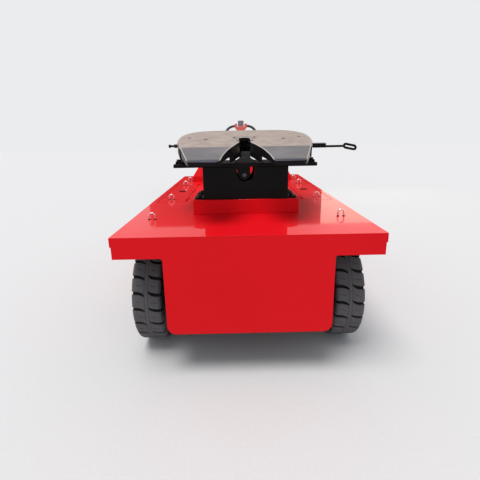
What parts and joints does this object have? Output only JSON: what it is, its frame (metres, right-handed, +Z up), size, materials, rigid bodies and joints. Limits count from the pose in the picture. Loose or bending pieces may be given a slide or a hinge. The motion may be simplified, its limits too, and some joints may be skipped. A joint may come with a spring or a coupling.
{
  "type": "walk-behind fifth wheel tug",
  "caption": "Electric tug steered by a tiller, with a flat red deck and a tilting fifth wheel on a pedestal over lugged solid tyres",
  "frame": {"origin": "on the ground under the middle of the body's bounding box", "axes": "+X to the right seen from behind, +Y forward from the fifth wheel to the tiller, +Z up"},
  "size_m": [1.412, 2.5, 1.458],
  "materials": {
    "red_paint": "gloss",
    "black_paint": "semi-gloss",
    "worn_steel": "worn",
    "chrome": "polished",
    "wheel_paint": "satin",
    "tyre": "matt",
    "black_plastic": "matt",
    "grey_plastic": "satin"
  },
  "bodies": {
    "chassis": {"chassis_frame": "black_paint", "rear_panel": "red_paint", "front_panel": "red_paint", "deck_plate": "red_paint", "skirt_left": "red_paint", "skirt_right": "red_paint", "side_box_left": "red_paint", "side_box_right": "red_paint", "battery_left": "black_plastic", "battery_right": "black_plastic", "lifting_eyes": "chrome", "plinth": "red_paint", "pedestal": "black_paint", "pedestal_feet": "black_paint", "lift_lug": "black_paint", "tilt_stop": "black_paint", "mounting_plate": "black_paint", "bearing_bracket_left": "black_paint", "bearing_bracket_right": "black_paint", "rear_axle": "black_paint", "drive_motor": "black_paint", "steer_ring": "worn_steel", "hood": "red_paint"},
    "wheel_left": {"tyre_left": "tyre", "rim_left": "wheel_paint"},
    "wheel_right": {"tyre_right": "tyre", "rim_right": "wheel_paint"},
    "steering": {"steer_fork": "black_paint", "tiller_base": "black_paint"},
    "front_wheels": {"front_axle": "worn_steel", "front_rims": "wheel_paint", "front_tyres": "tyre"},
    "tiller": {"tiller_arm": "black_paint", "tiller_head": "red_paint", "tiller_grips": "black_plastic", "head_display": "grey_plastic"},
    "fifth_wheel": {"fifth_wheel_plate": "worn_steel", "plate_ribs": "worn_steel", "lock_jaw": "black_paint", "release_handle": "black_paint", "lever_stub": "black_paint"},
    "lid_left": {"cover_left": "red_paint", "cover_handles_left": "chrome"},
    "lid_right": {"cover_right": "red_paint", "cover_handles_right": "chrome"}
  },
  "joints": [
    {"name": "rear_wheel_left_spin", "type": "hinge", "parent": "chassis", "child": "wheel_left", "pos_m": [-0.588, -0.788, 0.332], "axis": [1, 0, 0], "continuous": true},
    {"name": "rear_wheel_right_spin", "type": "hinge", "parent": "chassis", "child": "wheel_right", "pos_m": [0.588, -0.788, 0.332], "axis": [1, 0, 0], "continuous": true},
    {"name": "steering_turn", "type": "hinge", "parent": "chassis", "child": "steering", "pos_m": [0, 0.975, 0.5], "axis": [0, 0, 1], "range_deg": [-75, 75]},
    {"name": "front_wheels_spin", "type": "hinge", "parent": "steering", "child": "front_wheels", "pos_m": [0, 0.975, 0.206], "axis": [1, 0, 0], "continuous": true},
    {"name": "tiller_pitch", "type": "hinge", "parent": "steering", "child": "tiller", "pos_m": [0, 1.045, 0.93], "axis": [-1, 0, 0], "range_deg": [0, 75]},
    {"name": "fifth_wheel_tilt", "type": "hinge", "parent": "chassis", "child": "fifth_wheel", "pos_m": [0, -0.616, 1.198], "axis": [-1, 0, 0], "range_deg": [0, 18]},
    {"name": "cover_left_hinge", "type": "hinge", "parent": "chassis", "child": "lid_left", "pos_m": [-0.4525, 0.12, 0.815], "axis": [0, 1, 0], "range_deg": [0, 100]},
    {"name": "cover_right_hinge", "type": "hinge", "parent": "chassis", "child": "lid_right", "pos_m": [0.4525, 0.12, 0.815], "axis": [0, -1, 0], "range_deg": [0, 100]}
  ]
}
